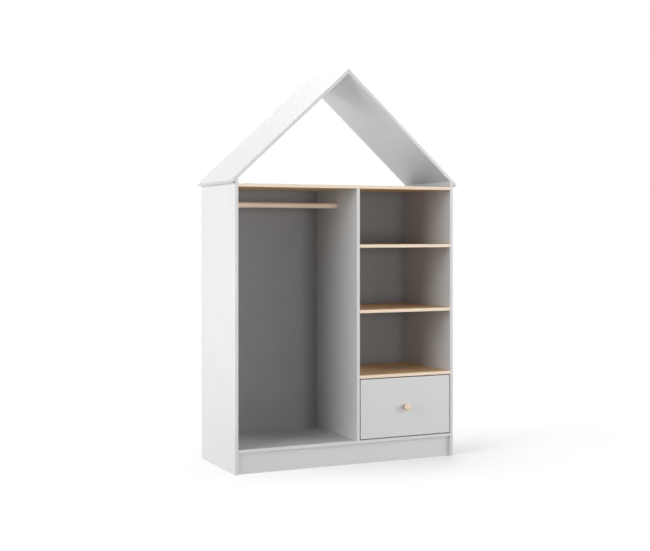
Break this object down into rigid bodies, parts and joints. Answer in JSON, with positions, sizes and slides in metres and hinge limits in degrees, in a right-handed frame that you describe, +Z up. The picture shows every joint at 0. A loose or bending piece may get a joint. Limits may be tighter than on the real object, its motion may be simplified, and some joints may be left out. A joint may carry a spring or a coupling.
{
  "type": "open wardrobe",
  "caption": "Open wardrobe with a hanging bay and wooden rail, open cubbies over an inset drawer with a turned knob, and a house-shaped roof of mitred boards.",
  "frame": {"origin": "centre of the part's box at floor level, with the knob counted in the depth", "axes": "+X to the right seen from the front, +Y to the back, +Z up"},
  "size_m": [1.2476, 0.513, 1.9662],
  "materials": {
    "grey_laminate": "satin light grey melamine on particle board",
    "wood_laminate": "satin light oak decor on particle board",
    "grey_hardboard": "satin grey lacquer on hardboard",
    "beech": "satin clear lacquer",
    "zinc_steel": "zinc plated",
    "white_steel": "white epoxy coating",
    "nylon": "natural nylon",
    "grey_plastic": "light grey cover"
  },
  "bodies": {
    "carcass": {"side_panel_left": "grey_laminate", "side_panel_right": "grey_laminate", "divider_panel": "grey_laminate", "bottom_panel": "grey_laminate", "plinth_front": "grey_laminate", "plinth_rear": "grey_laminate", "roof_panel_left": "grey_laminate", "roof_panel_right": "grey_laminate", "top_panel": "wood_laminate", "shelf_lower": "wood_laminate", "shelf_middle": "wood_laminate", "shelf_upper": "wood_laminate", "back_panel_left": "grey_hardboard", "back_panel_right": "grey_hardboard", "hanging_rail": "beech", "shelf_pins": "zinc_steel", "cam_locks": "zinc_steel", "cam_bolts": "zinc_steel", "wood_dowels": "beech", "confirmat_screws": "zinc_steel", "ridge_bolts": "zinc_steel", "eaves_bolts": "zinc_steel", "roof_cams": "zinc_steel", "cam_caps": "grey_plastic", "cabinet_rail_left": "white_steel", "cabinet_rail_right": "white_steel", "cabinet_axles": "zinc_steel", "cabinet_rail_screws": "zinc_steel"},
    "drawer": {"drawer_front": "grey_laminate", "drawer_side_left": "grey_laminate", "drawer_side_right": "grey_laminate", "drawer_back": "grey_laminate", "drawer_bottom": "grey_hardboard", "drawer_rail_left": "white_steel", "drawer_rail_right": "white_steel", "drawer_axles": "zinc_steel", "drawer_rail_screws": "zinc_steel", "drawer_cam_locks": "zinc_steel", "drawer_cam_bolts": "zinc_steel", "drawer_dowels": "beech", "drawer_back_screws": "zinc_steel", "drawer_bottom_screws": "zinc_steel", "knob": "beech", "knob_screw": "zinc_steel"},
    "front_roller_left": {"roller_front_left": "nylon"},
    "front_roller_right": {"roller_front_right": "nylon"},
    "rear_roller_left": {"roller_rear_left": "nylon"},
    "rear_roller_right": {"roller_rear_right": "nylon"}
  },
  "joints": [
    {"name": "drawer_slide", "type": "slide", "parent": "carcass", "child": "drawer", "axis": [0, -1, 0], "range_m": [0, 0.3]},
    {"name": "front_roller_left_spin", "type": "hinge", "parent": "carcass", "child": "front_roller_left", "pos_m": [0.067, -0.1945, 0.1423], "axis": [1, 0, 0], "range_deg": [0, 1722]},
    {"name": "front_roller_right_spin", "type": "hinge", "parent": "carcass", "child": "front_roller_right", "pos_m": [0.579, -0.1945, 0.1423], "axis": [1, 0, 0], "range_deg": [0, 1722]},
    {"name": "rear_roller_left_spin", "type": "hinge", "parent": "drawer", "child": "rear_roller_left", "pos_m": [0.0695, 0.1725, 0.1423], "axis": [1, 0, 0], "range_deg": [0, 1722]},
    {"name": "rear_roller_right_spin", "type": "hinge", "parent": "drawer", "child": "rear_roller_right", "pos_m": [0.5765, 0.1725, 0.1423], "axis": [1, 0, 0], "range_deg": [0, 1722]}
  ],
  "couplings": [
    {"joint": "front_roller_left_spin", "follows": "drawer_slide", "rad_per_m": 100},
    {"joint": "front_roller_right_spin", "follows": "drawer_slide", "rad_per_m": 100},
    {"joint": "rear_roller_left_spin", "follows": "drawer_slide", "rad_per_m": 100},
    {"joint": "rear_roller_right_spin", "follows": "drawer_slide", "rad_per_m": 100}
  ]
}
